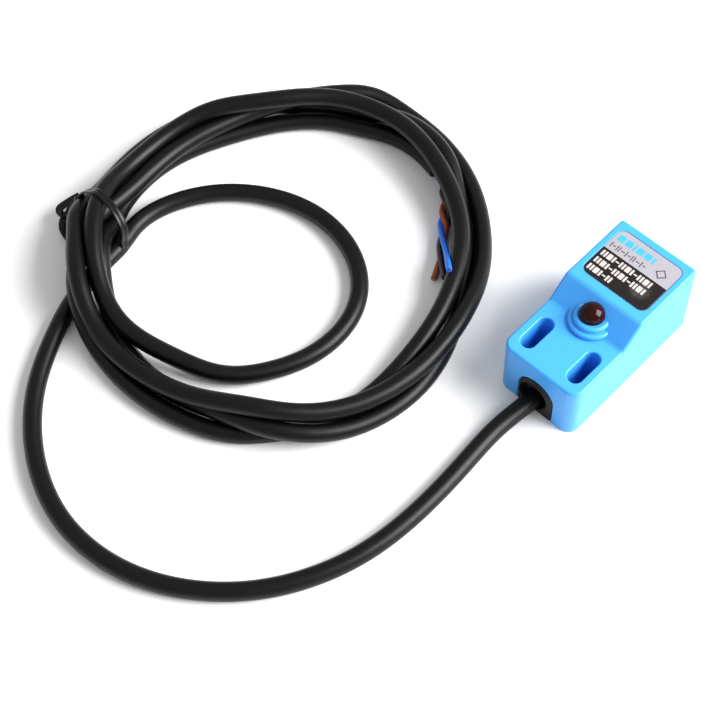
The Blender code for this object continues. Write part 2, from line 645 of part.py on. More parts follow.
def wire_ends():
    """Insulated conductors beyond the cut jacket, each with its copper core."""
    start, stop = math.radians(-21.0), math.radians(-58.0)
    lanes = {"brown": (30.3, 0.66), "blue": (31.0, 1.85), "black": (31.7, 0.66)}
    for colour, (radius, z) in lanes.items():
        route = []
        for i in range(8):
            angle = start + (stop - start) * i / 7
            point = polar(angle, radius * MM, z * MM) / MM
            route.append(tuple(point))
        rod(f"{colour}_wire_end", route, WIRE_RADIUS, WIRE_FINISH[colour], count=14, bore=WIRE_BORE)
        rod(f"{colour}_wire_core", route, CORE_WIRE_RADIUS, COPPER, count=14)


def main():
    clear_scene()
    housing()
    rating_label()
    cable_grommet()
    status_lamp()
    circuit_board()
    board_parts()
    coil_assembly()
    inner_wires()
    potting_layer()
    cable_tube("cable_lead", LEAD_ROUTE, 26, PVC)
    cable_tube("cable_inner_loop", INNER_ROUTE, 18, PVC)
    cable_coil()
    wire_ends()
    twist_tie()


main()
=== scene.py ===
"""Looks of the block-style proximity sensor: moulded shell, printed label, lamp and coiled cable.

Lengths are millimetres in the named values and metres in the meshes. The frame's origin is the
bottom centre of the housing, +X leaves the sensing face and the cable leaves towards -X.
"""

import math

import bmesh
import bpy
import numpy as np
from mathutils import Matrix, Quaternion, Vector
from mathutils.geometry import convex_hull_2d


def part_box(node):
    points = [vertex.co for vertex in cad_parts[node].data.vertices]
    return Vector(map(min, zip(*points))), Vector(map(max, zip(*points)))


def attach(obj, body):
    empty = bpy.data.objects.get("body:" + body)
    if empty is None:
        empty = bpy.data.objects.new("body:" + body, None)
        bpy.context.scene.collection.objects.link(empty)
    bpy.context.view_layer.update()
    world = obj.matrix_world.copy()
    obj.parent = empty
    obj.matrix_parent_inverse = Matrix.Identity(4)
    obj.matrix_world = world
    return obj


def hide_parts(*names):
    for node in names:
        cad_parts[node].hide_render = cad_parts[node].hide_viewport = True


MM = 0.001

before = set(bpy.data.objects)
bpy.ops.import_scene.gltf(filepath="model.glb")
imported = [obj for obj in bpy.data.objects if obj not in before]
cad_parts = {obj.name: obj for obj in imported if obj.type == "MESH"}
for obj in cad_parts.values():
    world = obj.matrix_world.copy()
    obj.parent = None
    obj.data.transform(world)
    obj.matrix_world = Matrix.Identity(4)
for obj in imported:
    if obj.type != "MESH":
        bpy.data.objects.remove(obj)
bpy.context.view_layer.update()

# Housing, from the frame
HOUSING_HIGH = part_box("housing")[1] / MM
BODY_END = HOUSING_HIGH.x
BODY_SIDE = HOUSING_HIGH.y
HEAD_TOP = HOUSING_HIGH.z
STEP_TOP = 13.8
SLOPE_FOOT_X = -4.0
SLOPE_TOP_X = 0.8
WALL = 1.5

# Lamp, label and arch, from the frame
LAMP_LOW, LAMP_HIGH = (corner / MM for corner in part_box("status_led_lens"))
LAMP_X = (LAMP_LOW.x + LAMP_HIGH.x) / 2
LAMP_RADIUS = 2.5
LAMP_DOME_Z = LAMP_HIGH.z - LAMP_RADIUS
LABEL_LOW, LABEL_HIGH = (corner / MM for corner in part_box("rating_label"))
LABEL_CORNER = 1.5
LABEL_SPLIT_X = 10.0
RUBBED_X, RUBBED_Y = 6.6, -3.9
ARCH_HALF_WIDTH = 4.15
ARCH_SPRING_Z = 5.5
ARCH_DEPTH = 2.0
SLOT_X, SLOT_Y, SLOT_LENGTH, SLOT_WIDTH = -11.15, 5.6, 8.0, 3.1

# Cable
CABLE_RADIUS = 1.85
CABLE_DIAMETER = 2 * CABLE_RADIUS
COIL_X, COIL_Y = -25.0, 60.3
POINT_STEP = 1.5
TIE_PLACE = (-47.2, 91.5, 0.0)
TIE_LEAN = 14.0
TIE_WIDTH = 1.7
TIE_THICKNESS = 0.5
TIE_LIFT = 0.4
TIE_TAILS = [
    [(-49.1, 99.2, 3.3), (-49.9, 100.1, 3.7), (-49.2, 100.8, 4.0), (-46.8, 100.6, 4.1),
     (-44.4, 100.2, 4.1)],
    [(-49.0, 98.8, 2.9), (-50.4, 98.8, 2.8), (-51.8, 97.4, 2.1), (-52.3, 94.8, 1.2)],
]
WIRE_RADIUS = 0.62

# Route of the free cable from the grommet to the bundle: x, y, z
LEAD_ROUTE = [
    (-12.6, 0.3, 2.7), (-15.6, 0.4, 2.6), (-18.5, 0.7, 2.3), (-25.0, 1.8, 1.87),
    (-33.5, 1.3, 1.87), (-42.7, 0.8, 1.87), (-52.5, 0.9, 1.87), (-62.7, 2.4, 1.87),
    (-72.0, 5.9, 1.87), (-79.8, 10.8, 1.87), (-86.2, 17.1, 1.87), (-91.0, 24.2, 1.87),
    (-94.2, 32.1, 1.87), (-95.5, 40.5, 1.87), (-94.8, 49.0, 1.87), (-91.8, 57.6, 1.87),
    (-86.8, 65.6, 1.87), (-80.2, 72.5, 1.87), (-73.5, 77.0, 1.87), (-67.4, 80.3, 1.87),
]

# Straight on under the bundle
UNDER_ROUTE = [(-61.0, 82.8, 1.87), (-54.5, 84.9, 1.87), (-48.2, 86.9, 1.87), (-42.4, 88.0, 1.87)]

# Route of the small loop inside the big turns
INNER_ROUTE = [
    (-36.8, 87.7, 1.87), (-32.0, 86.1, 1.87), (-26.8, 83.5, 1.87), (-21.8, 79.3, 1.87),
    (-17.9, 74.2, 1.87), (-15.0, 68.2, 1.87), (-13.6, 61.5, 1.87), (-14.1, 54.6, 1.87),
    (-16.6, 47.9, 1.87), (-20.9, 42.6, 1.87), (-26.6, 39.3, 1.87), (-33.2, 38.2, 1.87),
    (-39.9, 39.1, 1.87), (-46.0, 41.9, 2.0), (-50.9, 45.2, 2.3), (-54.2, 48.2, 2.6),
]

# The coil's turns, each as (angle in degrees, radius, height) round the coil's centre.
# All turn clockwise, so the angle falls; where a strand crosses another its height rises.
CLIMB_ON = [
    (188, 32.4, 3.6), (180, 33.6, 4.1), (172, 35.2, 4.7), (164, 36.4, 5.1), (156, 36.9, 5.4),
    (149, 37.0, 6.3), (142, 37.1, 8.0), (136, 37.2, 8.8), (130, 37.4, 8.8), (124, 37.6, 8.6),
]
FIRST_TURN = [
    (118, 37.5, 7.7), (112, 37.2, 6.4), (105, 36.9, 5.4), (94, 36.4, 5.1), (75, 35.6, 5.1),
    (66, 34.8, 5.7), (58, 34.0, 7.2), (50, 33.7, 8.4), (43, 34.1, 8.6), (36, 35.2, 8.4),
    (28, 36.6, 7.9), (20, 37.2, 7.5), (10, 37.5, 7.4), (0, 37.4, 7.4), (-11, 36.7, 7.2),
    (-22, 36.4, 6.4), (-32, 36.3, 5.5), (-42, 36.2, 5.1), (-64, 35.6, 5.1), (-80, 35.9, 4.8),
    (-95, 36.7, 3.5), (-112, 38.9, 1.9),
    (-130, 41.0, 1.9), (-151, 42.3, 1.9), (-173, 42.4, 1.9), (-191, 42.2, 1.9), (-199, 42.3, 1.9),
    (-205, 42.2, 2.8), (-210, 42.0, 4.4), (-214, 41.7, 5.2), (-218, 41.3, 4.6), (-223, 40.7, 3.0),
    (-228, 39.9, 2.4), (-232, 38.9, 3.4), (-236, 37.6, 4.8), (-240, 36.4, 5.5),
]
SECOND_TURN = [
    (116, 35.3, 5.5), (111, 34.4, 5.2), (104, 33.9, 5.1), (85, 33.5, 5.1), (69, 33.6, 5.1),
    (62, 34.1, 4.8), (55, 34.9, 4.6), (48, 35.8, 4.9), (41, 36.8, 5.3), (34, 37.9, 5.2),
    (27, 39.1, 4.6), (20, 40.4, 3.2), (14, 41.5, 2.2), (4, 42.5, 1.9), (-8, 42.5, 1.9), (-27, 41.5, 1.9),
    (-48, 40.3, 2.0), (-66, 39.9, 4.2), (-76, 40.1, 5.2), (-97, 40.5, 5.1), (-118, 41.0, 5.4),
    (-128, 41.1, 6.2), (-137, 40.8, 7.0), (-146, 40.3, 6.8), (-154, 39.8, 5.7), (-165, 39.6, 5.1),
    (-182, 40.2, 5.1), (-199, 41.0, 5.1), (-205, 41.0, 6.2), (-210, 40.9, 7.9), (-214, 40.8, 8.5),
    (-219, 40.6, 7.9), (-224, 40.4, 6.5), (-230, 40.3, 5.4), (-236, 40.5, 4.1), (-242, 40.6, 2.6),
]
THIRD_TURN = [
    (112, 40.6, 1.9), (98, 40.6, 1.9), (77, 40.4, 1.9), (58, 39.5, 1.9), (42, 38.9, 1.9),
    (32, 39.0, 1.9), (24, 39.4, 2.8), (15, 39.9, 4.2), (8, 40.2, 4.8), (-5, 40.3, 4.9),
    (-14, 39.8, 4.6), (-22, 38.6, 3.3), (-31, 37.4, 1.9), (-41, 37.0, 1.9), (-52, 36.8, 1.9),
    (-70, 38.1, 1.9), (-85, 40.2, 1.9), (-94, 41.6, 1.9), (-102, 42.5, 1.9),
    (-110, 43.1, 1.9), (-117, 43.7, 2.4),
    (-124, 44.0, 3.4), (-131, 43.8, 4.4), (-138, 43.0, 4.6), (-145, 41.7, 4.2), (-151, 40.4, 2.9),
    (-157, 39.3, 2.0), (-164, 38.8, 1.9), (-183, 38.0, 1.9), (-203, 37.0, 1.9), (-210, 36.6, 2.1),
    (-216, 36.4, 3.7), (-221, 36.3, 5.2), (-225, 36.3, 5.3), (-230, 36.3, 4.0), (-235, 36.3, 2.4),
]
END_ARC = [
    (119, 36.2, 1.9), (103, 35.3, 1.9), (90, 34.5, 1.9), (79, 33.6, 1.9), (67, 33.0, 1.9),
    (55, 33.2, 1.9), (42, 34.2, 1.9), (30, 35.5, 1.9), (18, 36.7, 1.9), (6, 37.7, 1.9),
    (-5, 38.1, 1.9), (-14, 38.2, 1.9),
]

# The three conductors: they twist about one line, then each goes its own way to its tip
TWIST_LINE = [(12.9, 54.2, 1.85), (12.1, 51.1, 1.85), (11.1, 48.7, 1.6), (9.3, 46.9, 1.4), (6.1, 43.9, 1.36),
              (1.9, 40.7, 1.36)]
TWIST_PITCH = 12.6
TWIST_RADIUS = 0.72
WIRES = {
    "brown": (208.0, [(-0.6, 38.4, 1.1), (-2.9, 36.8, 0.66), (-5.7, 35.4, 0.66), (-8.6, 33.9, 0.7)]),
    "blue": (308.0, [(-1.3, 38.1, 3.0), (-3.9, 34.9, 4.4), (-6.3, 32.3, 6.1), (-8.4, 30.1, 7.5)]),
    "black": (80.0, [(-1.2, 38.9, 1.0), (-3.6, 36.7, 1.5), (-6.4, 33.5, 2.3), (-8.1, 31.5, 3.0)]),
}

# Camera and light
CAMERA_PLACE = (-147.08, -88.99, 269.62)
CAMERA_TARGET = (-31.81, 34.44, 0.0)
CAMERA_ROLL = -3.51
CAMERA_LENS = 83.17
KEY_PLACE = (330, -470, 430)
KEY_AIM = (-30, 35, 0)
KEY_SIZE = (560, 560)
KEY_POWER = 15.0
WORLD_STRENGTH = 0.6
PAPER = 0.92


# Materials -------------------------------------------------------------------------------------


def node_material(name):
    """New node material, its shader and a function that adds nodes."""
    made = bpy.data.materials.new(name)
    made.use_nodes = True
    tree = made.node_tree
    shader = tree.nodes["Principled BSDF"]

    def add(kind, **values):
        node = tree.nodes.new(kind)
        for key, value in values.items():
            if key in node.inputs:
                node.inputs[key].default_value = value
            else:
                setattr(node, key, value)
        return node

    return made, shader, add, tree.links.new


def place_coordinates(add):
    """Coordinates in metres in the piece's own space."""
    return add("ShaderNodeTexCoord").outputs["Object"]


def surface(name, colour, roughness, metallic=0.0, vary=0.08, patch=220.0, grain=2500.0, bump=0.012,
            rough_vary=0.08, coat=0.0, specular=0.5):
    """Moulded, cast or drawn surface: soft patches of colour and gloss, and a fine grain."""
    made, shader, add, wire = node_material(name)
    place = place_coordinates(add)
    patches = add("ShaderNodeTexNoise", Scale=patch, Detail=3.0, Roughness=0.55)
    wire(place, patches.inputs["Vector"])
    ramp = add("ShaderNodeValToRGB")
    dark = [c * (1 - vary) for c in colour]
    light = [min(1.0, c * (1 + vary)) for c in colour]
    ramp.color_ramp.elements[0].position = 0.3
    ramp.color_ramp.elements[0].color = (*dark, 1.0)
    ramp.color_ramp.elements[1].position = 0.7
    ramp.color_ramp.elements[1].color = (*light, 1.0)
    wire(patches.outputs["Fac"], ramp.inputs["Fac"])
    wire(ramp.outputs["Color"], shader.inputs["Base Color"])
    spread = add("ShaderNodeMapRange")
    spread.inputs["To Min"].default_value = max(0.02, roughness - rough_vary)
    spread.inputs["To Max"].default_value = min(1.0, roughness + rough_vary)
    wire(patches.outputs["Fac"], spread.inputs["Value"])
    wire(spread.outputs["Result"], shader.inputs["Roughness"])
    fine = add("ShaderNodeTexNoise", Scale=grain, Detail=2.0)
    wire(place, fine.inputs["Vector"])
    relief = add("ShaderNodeBump", Strength=0.35, Distance=bump * MM)
    wire(fine.outputs["Fac"], relief.inputs["Height"])
    wire(relief.outputs["Normal"], shader.inputs["Normal"])
    shader.inputs["Metallic"].default_value = metallic
    shader.inputs["Coat Weight"].default_value = coat
    shader.inputs["Specular IOR Level"].default_value = specular
    made.diffuse_color = (*colour, 1.0)
    return made


def worn_black(name):
    """Black print with a rubbed patch near one corner."""
    made, shader, add, wire = node_material(name)
    place = place_coordinates(add)
    ball = add("ShaderNodeVectorMath", operation="DISTANCE")
    ball.inputs[1].default_value = (RUBBED_X * MM, RUBBED_Y * MM, LABEL_HIGH.z * MM)
    wire(place, ball.inputs[0])
    fade = add("ShaderNodeMapRange")
    fade.inputs["From Min"].default_value = 0.9 * MM
    fade.inputs["From Max"].default_value = 3.4 * MM
    fade.inputs["To Min"].default_value = 1.0
    fade.inputs["To Max"].default_value = 0.0
    wire(ball.outputs["Value"], fade.inputs["Value"])
    scuffs = add("ShaderNodeTexNoise", Scale=1500.0, Detail=5.0, Roughness=0.7, Distortion=1.2)
    wire(place, scuffs.inputs["Vector"])
    rubbed = add("ShaderNodeMath", operation="MULTIPLY")
    wire(fade.outputs["Result"], rubbed.inputs[0])
    wire(scuffs.outputs["Fac"], rubbed.inputs[1])
    ramp = add("ShaderNodeValToRGB")
    ramp.color_ramp.elements[0].position = 0.22
    ramp.color_ramp.elements[0].color = (0.007, 0.0045, 0.0045, 1.0)
    ramp.color_ramp.elements[1].position = 0.62
    ramp.color_ramp.elements[1].color = (0.06, 0.055, 0.055, 1.0)
    wire(rubbed.outputs["Value"], ramp.inputs["Fac"])
    wire(ramp.outputs["Color"], shader.inputs["Base Color"])
    shader.inputs["Roughness"].default_value = 0.42
    shader.inputs["Specular IOR Level"].default_value = 0.3
    return made


def jacket(name, colour, roughness, streaks=900.0, shine=0.5):
    """Extruded insulation: satin, with faint scuffs and a fine leathery relief."""
    made, shader, add, wire = node_material(name)
    place = place_coordinates(add)
    scuffs = add("ShaderNodeTexNoise", Scale=streaks, Detail=4.0, Roughness=0.6)
    wire(place, scuffs.inputs["Vector"])
    clouds = add("ShaderNodeTexNoise", Scale=90.0, Detail=2.0)
    wire(place, clouds.inputs["Vector"])
    ramp = add("ShaderNodeValToRGB")
    ramp.color_ramp.elements[0].position = 0.35
    ramp.color_ramp.elements[0].color = (*[c * 0.88 for c in colour], 1.0)
    ramp.color_ramp.elements[1].position = 0.75
    ramp.color_ramp.elements[1].color = (*[min(1.0, c * 1.15) for c in colour], 1.0)
    wire(clouds.outputs["Fac"], ramp.inputs["Fac"])
    wire(ramp.outputs["Color"], shader.inputs["Base Color"])
    spread = add("ShaderNodeMapRange")
    spread.inputs["To Min"].default_value = roughness - 0.06
    spread.inputs["To Max"].default_value = roughness + 0.08
    wire(scuffs.outputs["Fac"], spread.inputs["Value"])
    wire(spread.outputs["Result"], shader.inputs["Roughness"])
    relief = add("ShaderNodeBump", Strength=0.25, Distance=0.015 * MM)
    wire(scuffs.outputs["Fac"], relief.inputs["Height"])
    wire(relief.outputs["Normal"], shader.inputs["Normal"])
    shader.inputs["Specular IOR Level"].default_value = shine
    made.diffuse_color = (*colour, 1.0)
    return made


BLUE_ABS = surface("blue_abs", (0.045, 0.335, 0.84), 0.42, vary=0.03, patch=120.0, bump=0.006,
                   rough_vary=0.05)
LABEL_FILM = surface("label_film", (0.33, 0.315, 0.345), 0.4, vary=0.02, bump=0.004, specular=0.35)
LABEL_BLACK = worn_black("label_black")
LABEL_BLUE = surface("label_blue", (0.045, 0.36, 0.80), 0.4, vary=0.03)
LABEL_GREY = surface("label_grey", (0.05, 0.05, 0.06), 0.4, vary=0.05)
LABEL_WHITE = surface("label_white", (0.50, 0.45, 0.44), 0.45, vary=0.05, specular=0.3)
RUBBER = surface("black_rubber", (0.003, 0.003, 0.0035), 0.55, vary=0.15, patch=500.0, bump=0.02,
                 specular=0.28)
LAMP_RESIN = surface("dark_red_resin", (0.018, 0.0005, 0.0006), 0.09, vary=0.2, patch=300.0, bump=0.0005,
                     rough_vary=0.02, specular=0.2)
CABLE_PVC = jacket("black_pvc", (0.0012, 0.0012, 0.0014), 0.38, shine=0.24)
TIE_PLASTIC = surface("tie_plastic", (0.0015, 0.0015, 0.0018), 0.34, vary=0.1, patch=600.0, bump=0.01,
                      specular=0.3)
WIRE_FINISH = {
    "brown": jacket("brown_pvc", (0.30, 0.060, 0.022), 0.42, 1500.0),
    "blue": jacket("blue_pvc", (0.012, 0.15, 0.82), 0.38, 1500.0),
    "black": jacket("conductor_black_pvc", (0.012, 0.011, 0.013), 0.42, 1500.0),
}
COPPER = surface("copper_strand", (0.70, 0.28, 0.12), 0.34, metallic=1.0, vary=0.12, patch=1800.0, bump=0.01)
TINNED = surface("tinned_lead", (0.70, 0.69, 0.66), 0.3, metallic=1.0, vary=0.06, patch=900.0)
FERRITE = surface("sintered_ferrite", (0.055, 0.055, 0.06), 0.6, vary=0.2, patch=900.0, bump=0.03)
NYLON = surface("white_nylon", (0.72, 0.71, 0.66), 0.5, vary=0.04)
BOARD = surface("solder_mask", (0.015, 0.13, 0.05), 0.35, vary=0.12, patch=700.0, bump=0.01)
EPOXY = surface("moulded_epoxy", (0.018, 0.018, 0.02), 0.55, vary=0.15, patch=900.0, bump=0.02)
POTTING = surface("potting_resin", (0.015, 0.015, 0.018), 0.25, vary=0.2, patch=150.0, bump=0.02)
RESISTOR = surface("chip_resistor", (0.03, 0.03, 0.034), 0.4, vary=0.1, patch=1500.0)
CAPACITOR = surface("chip_capacitor", (0.42, 0.30, 0.18), 0.5, vary=0.08, patch=1500.0)

NODE_FINISH = {
    "potting_layer": POTTING, "circuit_board": BOARD, "ferrite_core": FERRITE, "coil_bobbin": NYLON,
    "coil_winding": COPPER, "coil_start_lead": COPPER, "coil_finish_lead": COPPER,
    "oscillator_chip": EPOXY, "output_transistor": EPOXY, "reverse_protection_diode": EPOXY,
    "surge_diode": EPOXY, "led_anode_lead": TINNED, "led_cathode_lead": TINNED,
    "tuning_capacitor": CAPACITOR,
    "chip_resistor_1": RESISTOR, "chip_resistor_2": RESISTOR, "chip_resistor_3": RESISTOR,
    "chip_resistor_4": RESISTOR,
    "chip_capacitor_1": CAPACITOR, "chip_capacitor_2": CAPACITOR, "chip_capacitor_3": CAPACITOR,
    "brown_inner_wire": WIRE_FINISH["brown"], "blue_inner_wire": WIRE_FINISH["blue"],
    "black_inner_wire": WIRE_FINISH["black"],
}


# Mesh helpers ----------------------------------------------------------------------------------


def add_object(name, data, *finishes):
    """Object for a mesh or curve, with its materials."""
    made = bpy.data.objects.new(name, data)
    bpy.context.scene.collection.objects.link(made)
    for finish in finishes:
        data.materials.append(finish)
    return made


def finish_mesh(name, bm, *finishes, sharp=35.0):
    """bmesh in millimetres to an object in metres, smooth below sharp degrees."""
    bmesh.ops.recalc_face_normals(bm, faces=bm.faces)
    bmesh.ops.scale(bm, vec=(MM, MM, MM), verts=bm.verts)
    mesh = bpy.data.meshes.new(name)
    bm.to_mesh(mesh)
    bm.free()
    mesh.shade_smooth()
    mesh.set_sharp_from_angle(angle=math.radians(sharp))
    return add_object(name, mesh, *finishes)


def stand_in(piece, slot, *nodes):
    """The piece shows in place of the CAD nodes, on the one body there is."""
    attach(piece, "root")
    if nodes:
        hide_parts(*nodes)
    return piece


def loft(bm, rings, closed=False):
    """Faces between rings of equal count, with caps unless the loft closes on itself."""
    made = [[bm.verts.new(point) for point in ring] for ring in rings]
    pairs = list(zip(made, made[1:]))
    if closed:
        pairs.append((made[-1], made[0]))
    for a, b in pairs:
        for i in range(len(a)):
            j = (i + 1) % len(a)
            bm.faces.new((a[i], a[j], b[j], b[i]))
    if not closed:
        bm.faces.new(list(reversed(made[0])))
        bm.faces.new(made[-1])
    return made


def rounded_rectangle(x0, x1, y0, y1, radius, steps=8):
    corners = [(x1 - radius, y1 - radius), (x0 + radius, y1 - radius),
               (x0 + radius, y0 + radius), (x1 - radius, y0 + radius)]
    return [(cx + radius * math.cos(a), cy + radius * math.sin(a))
            for quarter, (cx, cy) in enumerate(corners)
            for a in (math.pi / 2 * (quarter + step / steps) for step in range(steps + 1))]


def slot_outline(cx, cy, length, width, steps=14):
    radius = width / 2
    reach = length / 2 - radius
    return [(cx + side * reach + radius * math.cos(a), cy + radius * math.sin(a))
            for side, start in ((1, -math.pi / 2), (-1, math.pi / 2))
            for a in (start + math.pi * step / steps for step in range(steps + 1))]


def arch_outline(half_width, spring_z, bottom_z, steps=22):
    points = [(-half_width, bottom_z), (half_width, bottom_z)]
    points += [(half_width * math.cos(a), spring_z + half_width * math.sin(a))
               for a in (math.pi * step / steps for step in range(steps + 1))]
    return points


def flared_cutter(name, outline_at, bottom, top, lip, steps=4):
    """Upright cutter whose mouth opens by a quarter-round lip just under its top."""
    bm = bmesh.new()
    levels = [(bottom, 0.0), (top - lip, 0.0)]
    for step in range(1, steps + 1):
        a = math.pi / 2 * step / steps
        levels.append((top - lip + lip * math.sin(a), lip * (1 - math.cos(a))))
    levels.append((top + 1.0, lip))
    loft(bm, [[(x, y, z) for x, y in outline_at(offset)] for z, offset in levels])
    return finish_mesh(name, bm)


def lathe(name, profile, axis, centre, *finishes, segments=64, sharp=35.0):
    """Closed profile of (along, radius) turned about X or Z; radius 0 is a point on the axis."""
    bm = bmesh.new()
    rings = []
    for along, radius in profile:
        count = 1 if radius == 0 else segments
        ring = []
        for i in range(count):
            a = 2 * math.pi * i / segments
            u, v = radius * math.cos(a), radius * math.sin(a)
            spot = (along, u, v) if axis == "X" else (u, v, along)
            ring.append(bm.verts.new(Vector(spot) + Vector(centre)))
        rings.append(ring)
    for a, b in zip(rings, rings[1:] + rings[:1]):
        if len(a) == 1 and len(b) == 1:
            continue
        for i in range(segments):
            j = (i + 1) % segments
            if len(a) == 1:
                bm.faces.new((a[0], b[i], b[j]))
            elif len(b) == 1:
                bm.faces.new((a[i], b[0], a[j]))
            else:
                bm.faces.new((a[i], b[i], b[j], a[j]))
    return finish_mesh(name, bm, *finishes, sharp=sharp)


def cut(target, tool, operation="DIFFERENCE"):
    """Apply one exact boolean and drop its tool."""
    modifier = target.modifiers.new(tool.name, "BOOLEAN")
    modifier.operation = operation
    modifier.object = tool
    modifier.solver = "EXACT"
    apply_modifiers(target)
    bpy.data.objects.remove(tool)


def apply_modifiers(target):
    """Bake the modifier stack into the mesh."""
    graph = bpy.context.evaluated_depsgraph_get()
    graph.update()
    baked = bpy.data.meshes.new_from_object(target.evaluated_get(graph))
    target.modifiers.clear()
    target.data = baked


def weigh_normals(target, sharp=35.0):
    """Large flat faces keep flat shading beside their rounded edges."""
    target.data.shade_smooth()
    target.data.set_sharp_from_angle(angle=math.radians(sharp))
    modifier = target.modifiers.new("weighted", "WEIGHTED_NORMAL")
    modifier.keep_sharp = True
    modifier.weight = 80


# Housing ---------------------------------------------------------------------------------------


def shell_blank():
    """Stepped block with rounded upright corners and filleted edges."""
    profile = [(-BODY_END, 0.0), (BODY_END, 0.0), (BODY_END, HEAD_TOP), (SLOPE_TOP_X, HEAD_TOP),
               (SLOPE_FOOT_X, STEP_TOP), (-BODY_END, STEP_TOP)]
    bm = bmesh.new()
    loft(bm, [[(x, y, z) for x, z in profile] for y in (-BODY_SIDE, BODY_SIDE)])
    bmesh.ops.recalc_face_normals(bm, faces=bm.faces)
    for x, radius, steps in ((-BODY_END, 2.4, 14), (BODY_END, 0.8, 7)):
        upright = [e for e in bm.edges if all(abs(v.co.x - x) < 1e-4 for v in e.verts)
                   and abs(e.verts[0].co.y - e.verts[1].co.y) < 1e-4]
        bmesh.ops.bevel(bm, geom=upright, offset=radius, segments=steps, affect="EDGES", profile=0.5)
    crisp = math.radians(30.0)
    rim = [e for e in bm.edges if min(v.co.z for v in e.verts) > STEP_TOP / 2
           and e.calc_face_angle(0.0) > crisp]
    bmesh.ops.bevel(bm, geom=rim, offset=0.6, segments=6, affect="EDGES", profile=0.5)
    foot = [e for e in bm.edges if max(v.co.z for v in e.verts) < 0.01]
    bmesh.ops.bevel(bm, geom=foot, offset=0.2, segments=3, affect="EDGES", profile=0.5)
    return finish_mesh("housing_shell", bm, BLUE_ABS)


def ring_profile():
    """Two rounded rings, the lower one wider, that step up round the lamp: (height, radius)."""
    rings = [(13.9, 4.42), (14.15, 4.58), (14.45, 4.57), (14.7, 4.38), (14.84, 4.08), (14.8, 3.78),
             (14.82, 3.6), (15.05, 3.56), (15.4, 3.58), (15.66, 3.46), (15.84, 3.2), (15.88, 2.9),
             (15.78, 2.62)]
    rounded = smooth_line([(z, r, 0.0) for z, r in rings], 0.09)
    return [(12.9, 0.0), (12.9, 4.55)] + [(z, r) for z, r, _flat in rounded] + [(15.6, 0.0)]


def dome_profile(foot, radius, steps=20):
    """Upright round body from foot up to a half-ball on the lamp's centre: (height, radius)."""
    ball = [(LAMP_DOME_Z + radius * math.sin(a), radius * math.cos(a))
            for a in (math.pi / 2 * step / steps for step in range(steps))]
    return [(foot, radius)] + ball + [(LAMP_DOME_Z + radius, 0.0)]


def housing_shell():
    shell = shell_blank()
    rings = lathe("lamp_rings", ring_profile(), "Z", (LAMP_X, -0.15, 0), segments=72)
    cut(shell, rings, "UNION")
    side = BODY_SIDE - WALL
    rise = (HEAD_TOP - STEP_TOP) / (SLOPE_TOP_X - SLOPE_FOOT_X)
    roof = HEAD_TOP - 0.3 - WALL
    low_roof = STEP_TOP - WALL
    outline = [(-5.6, -1.0), (BODY_END - WALL, -1.0), (BODY_END - WALL, roof),
               (SLOPE_FOOT_X - 0.4 + (roof - low_roof) / rise, roof), (SLOPE_FOOT_X - 0.4, low_roof),
               (-5.6, low_roof)]
    bm = bmesh.new()
    loft(bm, [[(x, y, z) for x, z in outline] for y in (-side, side)])
    cut(shell, finish_mesh("cavity", bm))
    bm = bmesh.new()
    loft(bm, [[(x, y, z) for x, y in ((-15.7, -2.8), (-5.5, -2.8), (-5.5, 2.8), (-15.7, 2.8))]
              for z in (-1.0, 11.4)])
    cut(shell, finish_mesh("channel", bm))
    bm = bmesh.new()
    lip = 0.22
    loft(bm, [[(x, y, z) for y, z in arch_outline(ARCH_HALF_WIDTH + offset, ARCH_SPRING_Z, -1.0)]
              for x, offset in ((-BODY_END - 1, lip), (-BODY_END, lip), (-BODY_END + 0.08, lip * 0.45),
                                (-BODY_END + lip, 0.0), (-BODY_END + ARCH_DEPTH, 0.0))])
    cut(shell, finish_mesh("arch", bm))
    for y in (SLOT_Y, -SLOT_Y):
        cut(shell, flared_cutter("slot", lambda o: slot_outline(SLOT_X, y, SLOT_LENGTH + 2 * o,
                                                                SLOT_WIDTH + 2 * o), -1.0, STEP_TOP, 0.3))
    cut(shell, lathe("lamp_hole", [(9.0, 0.0)] + dome_profile(9.0, LAMP_RADIUS + 0.03), "Z", (LAMP_X, 0, 0)))
    gap = 0.1
    cut(shell, flared_cutter("label_recess", lambda o: rounded_rectangle(
        LABEL_LOW.x - gap - o, LABEL_HIGH.x + gap + o, LABEL_LOW.y - gap - o, LABEL_HIGH.y + gap + o,
        LABEL_CORNER + gap + o), HEAD_TOP - 0.3, HEAD_TOP, 0.12, 3))
    weigh_normals(shell)
    return stand_in(shell, "blue_abs", "housing")


# Label -----------------------------------------------------------------------------------------


def flat_mark(bm, outline, z, thick, index):
    """Thin printed shape lying on the label."""
    low = [(x, y, z) for x, y in outline]
    high = [(x, y, z + thick) for x, y in outline]
    before = set(bm.faces)
    loft(bm, [low, high])
    for face in set(bm.faces) - before:
        face.material_index = index


def dash(x, start, length, height):
    """Small rectangle with softened corners, centred on x and running from start towards -Y."""
    corner = min(height, length) * 0.18
    return rounded_rectangle(x - height / 2, x + height / 2, start - length, start, corner, 3)


def dashes(start, stop, rhythm, gap):
    """Starts and lengths of dashes from start down to stop that repeat a rhythm of lengths."""
    found = []
    while True:
        length = rhythm[len(found) % len(rhythm)]
        if start - length < stop:
            return found
        found.append((start, length))
        start -= length + gap


